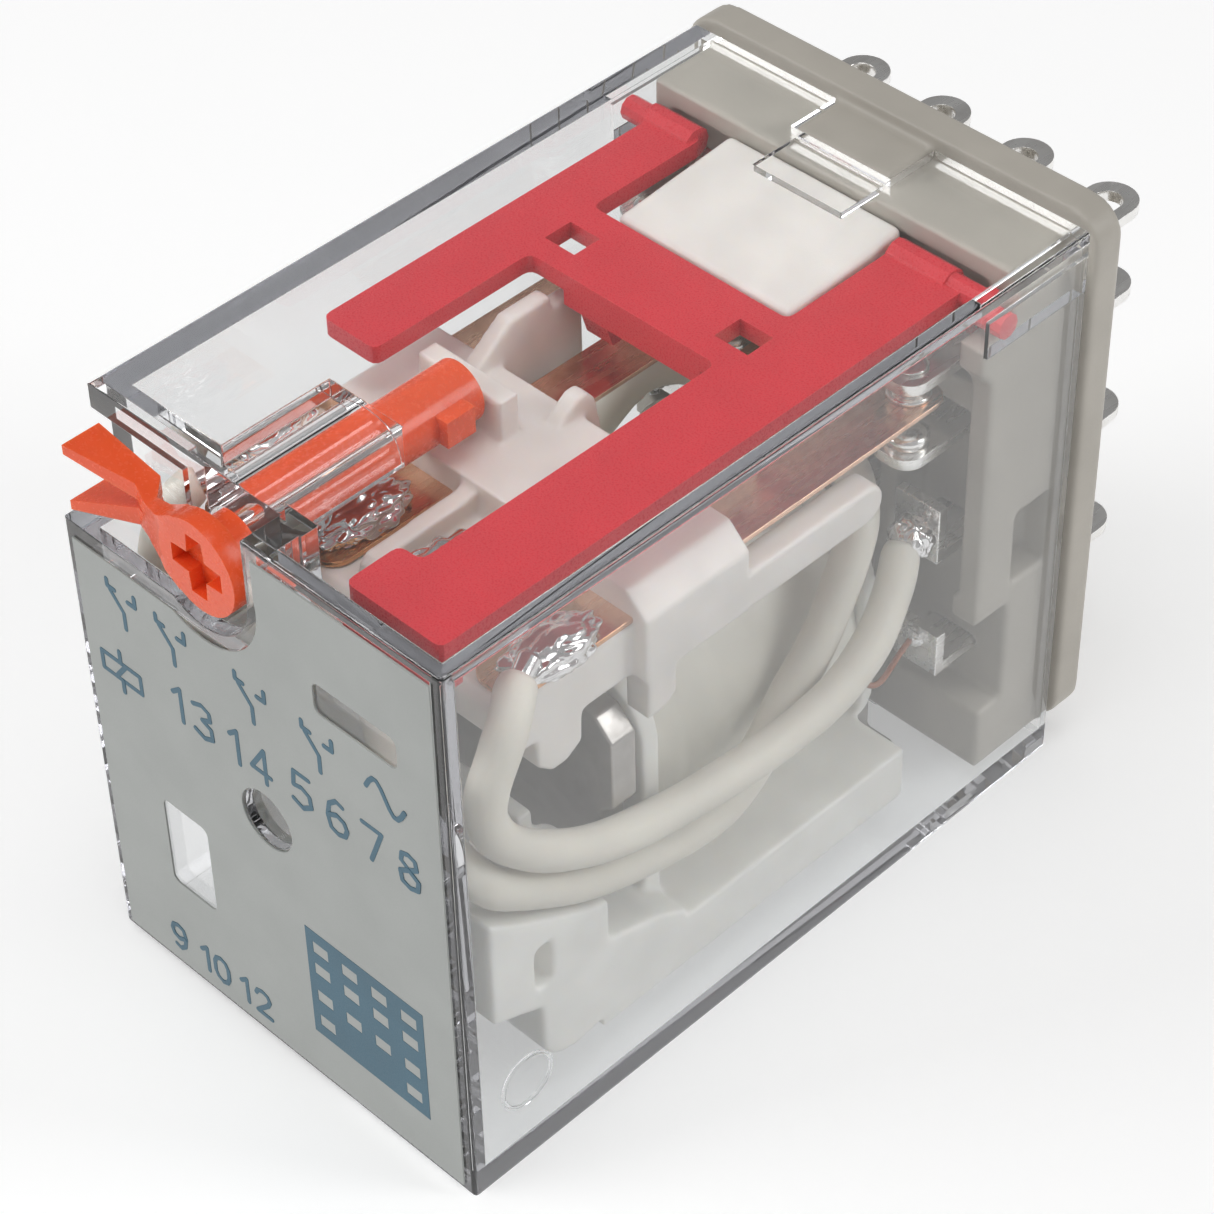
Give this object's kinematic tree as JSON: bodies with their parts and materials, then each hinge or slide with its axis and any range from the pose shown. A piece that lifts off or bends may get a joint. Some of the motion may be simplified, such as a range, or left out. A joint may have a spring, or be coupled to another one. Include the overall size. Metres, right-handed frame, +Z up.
{
  "type": "plug-in control relay",
  "caption": "Miniature plug-in relay with changeover contacts in a clear cover, a test button with a locking lever, an indicator flag and flat blades for a socket.",
  "frame": {"origin": "centre of the footprint, on the plane of the lowest side of the rear flange and cover", "axes": "+X across the front from left to right, +Y from the labelled front to the blade tips, +Z up to the side with the test button"},
  "size_m": [0.0216, 0.0414, 0.028],
  "materials": {
    "clear_plastic": "polished clear plastic",
    "label": "printed grey film",
    "grey_plastic": "moulded, fine matt",
    "silver": "silver plate",
    "copper": "rolled copper alloy",
    "solder": "bright solder",
    "sleeving": "sleeved lead",
    "white_plastic": "milky moulding",
    "iron": "plated soft iron",
    "tape": "coil tape",
    "red_plastic": "semi-gloss",
    "orange_plastic": "gloss"
  },
  "bodies": {
    "housing": {"clear_cover": "clear_plastic", "front_label": "label", "terminal_base": "grey_plastic", "nc_terminal_1": "silver", "nc_terminal_2": "silver", "nc_terminal_3": "silver", "nc_terminal_4": "silver", "no_terminal_1": "silver", "no_terminal_2": "silver", "no_terminal_3": "silver", "no_terminal_4": "silver", "com_terminal_1": "silver", "com_terminal_2": "silver", "com_terminal_3": "silver", "com_terminal_4": "silver", "coil_terminal_1": "silver", "coil_terminal_2": "silver", "nc_contact_1": "silver", "nc_contact_2": "silver", "nc_contact_3": "silver", "nc_contact_4": "silver", "no_contact_1": "silver", "no_contact_2": "silver", "no_contact_3": "silver", "no_contact_4": "silver", "flexible_lead_1": "sleeving", "flexible_lead_2": "sleeving", "flexible_lead_3": "sleeving", "flexible_lead_4": "sleeving", "hinge_spring": "silver", "coil_bobbin": "white_plastic", "taped_winding": "tape", "pole_core": "iron", "shading_ring": "copper", "yoke": "iron", "top_insulator": "white_plastic"},
    "armature": {"armature_plate": "iron", "contact_carrier": "white_plastic", "leaf_spring_1": "copper", "leaf_spring_2": "copper", "leaf_spring_3": "copper", "leaf_spring_4": "copper", "moving_contact_1": "silver", "moving_contact_2": "silver", "moving_contact_3": "silver", "moving_contact_4": "silver", "spring_solder_1": "solder", "spring_solder_2": "solder", "spring_solder_3": "solder", "spring_solder_4": "solder"},
    "flag": {"indicator_flag": "red_plastic"},
    "plunger": {"test_plunger": "orange_plastic"},
    "lever": {"test_lever": "orange_plastic"}
  },
  "joints": [
    {"name": "armature_rock", "type": "hinge", "parent": "housing", "child": "armature", "pos_m": [0, -0.0105, 0.0034], "axis": [1, 0, 0], "range_deg": [-2.2, 0], "stiffness_Nm_per_rad": 0.02, "springref_deg": 8.59, "deforming": ["flexible_lead_1", "flexible_lead_2", "flexible_lead_3", "flexible_lead_4"]},
    {"name": "flag_swing", "type": "hinge", "parent": "housing", "child": "flag", "pos_m": [0, 0.0089, 0.0252], "axis": [1, 0, 0], "range_deg": [0, 2.8]},
    {"name": "test_push", "type": "slide", "parent": "housing", "child": "plunger", "axis": [0, 1, 0], "range_m": [0, 0.0009]},
    {"name": "lever_turn", "type": "hinge", "parent": "plunger", "child": "lever", "pos_m": [-0.0025, -0.0201, 0.0244], "axis": [0, 1, 0], "range_deg": [0, 90]}
  ],
  "couplings": [
    {"joint": "flag_swing", "follows": "armature_rock", "ratio": -1.13},
    {"joint": "test_push", "follows": "armature_rock", "m_per_rad": -0.0208}
  ]
}
